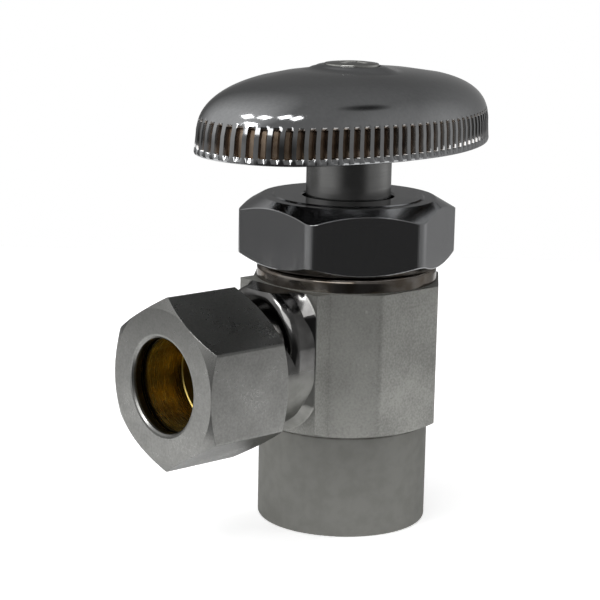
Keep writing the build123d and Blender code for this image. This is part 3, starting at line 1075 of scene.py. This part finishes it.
# %% Inside of the handle
inner_low = 43.0
inner_steps = 6
inner_slope = 54
hub_radius = 5.8
hub_low = 41.4
hub_high = 46.4
hub_break = 0.2
hub_spreads = ((0.6, 1.5, 0.6), (0.0, 0.4, 1.0))
drive_half = 2.85
drive_top = 46.6
shank_hole = 1.85
head_floor = 48.65
inner_base = band_ring(inner_low, wall)
inner_rise = handle_top - wall - inner_low
rings.append(inner_base)
for step in range(1, inner_steps + 1):
    rings.append(dome_ring(inner_base, sloped_share(inner_slope * step / inner_steps), inner_rise))
for share, beyond, roundness in hub_spreads:
    rings.append(dome_ring(inner_base, share, inner_rise, hub_radius + beyond, roundness))
rings += [
    round_ring(hub_radius, hub_high),
    round_ring(hub_radius, hub_low + hub_break),
    round_ring(hub_radius - hub_break, hub_low),
    square_ring(drive_half, hub_low),
    square_ring(drive_half, drive_top),
    round_ring(shank_hole, drive_top),
    round_ring(shank_hole, head_floor),
    round_ring(head_hole, head_floor),
]
print("with the inside:", len(rings), "rings")

# %% [markdown]
# The skin is a circle of vertices, extruded once for every ring. Each new vertex keeps the number of
# its column, which says where the ring puts it, and whether it carries the grime of a flute. The last
# ring is bridged to the first. The handle is then turned as it was left, and tipped a little, because
# a cast handle seldom sits quite straight on its drive.

# %% Handle
handle_turn = radians(15.25)
handle_tip = radians(1.22)
handle_lean = radians(0.45)
handle_middle = (0, 0, 45.0)
handle_facet_angle = 40
grime_low = flute_low + 0.45
grime_high = flute_high - 0.2
bm = bmesh.new()
bmesh.ops.create_circle(bm, segments=columns, radius=1)
column_of = bm.verts.layers.int.new("column")
flute_of = bm.verts.layers.float.new("flute")
bm.verts.ensure_lookup_table()
for column, vertex in enumerate(bm.verts):
    vertex[column_of] = column
    vertex.co = rings[0][column]
first_edges = bm.edges[:]
edges = first_edges
for ring in rings[1:]:
    grown = bmesh.ops.extrude_edge_only(bm, edges=edges)["geom"]
    new_verts = {part for part in grown if isinstance(part, bmesh.types.BMVert)}
    for vertex in new_verts:
        vertex.co = ring[vertex[column_of]]
        sunk = in_flute(vertex[column_of]) and grime_low < vertex.co.z < grime_high
        vertex[flute_of] = 1.0 if sunk else 0.0
    grown_edges = [part for part in grown if isinstance(part, bmesh.types.BMEdge)]
    edges = [edge for edge in grown_edges if new_verts.issuperset(edge.verts)]
bmesh.ops.bridge_loops(bm, edges=first_edges + edges)
bmesh.ops.rotate(bm, verts=bm.verts, matrix=Matrix.Rotation(handle_turn, 3, "Z"))
crooked = Matrix.Rotation(handle_tip, 3, "Y") @ Matrix.Rotation(handle_lean, 3, "X")
bmesh.ops.rotate(bm, verts=bm.verts, cent=handle_middle, matrix=crooked)
make_piece("handle_plated", bm, "stem", handle_plate, "handle",
           sharp=handle_facet_angle)

# %% [markdown]
# The screw in the boss keeps its solid's crowned head and cross recess, with the edges rounded so that
# they catch the light.

# %% Handle screw
screw_edge_round = 0.08
bm = merged_copy("handle_screw")
soften(bm, hard_edge_angle, screw_edge_round)
make_piece("handle_screw_plated", bm, "stem", screw_plate, "handle_screw")

# %% [markdown]
# The seat washer is a moulded rubber disc in the foot of the stem. The stem turns and the washer does
# not, so a little room is left between them all round, and its edges are rounded, as the mould leaves
# them. Scaling it about its middle gives the same room above, below and beside it, near enough.

# %% Seat washer
washer_room = 0.02
washer_round = 0.2
bm = merged_copy("seat_washer")
soften(bm, hard_edge_angle, washer_round, segments=3)
washer_low = min(vertex.co.z for vertex in bm.verts)
washer_high = max(vertex.co.z for vertex in bm.verts)
washer_middle = Vector((0, 0, (washer_low + washer_high) / 2))
thinner = 1 - 2 * washer_room / (washer_high - washer_low)
bmesh.ops.translate(bm, verts=bm.verts, vec=-washer_middle)
bmesh.ops.scale(bm, verts=bm.verts, vec=(thinner, thinner, thinner))
bmesh.ops.translate(bm, verts=bm.verts, vec=washer_middle)
make_piece("seat_washer_moulded", bm, "seat_disc", rubber, "seat_washer")

# %% [markdown]
# The view transform is the plain one, so that a colour shows as it is written.

# %% Finish
bpy.context.scene.view_settings.view_transform = "Standard"
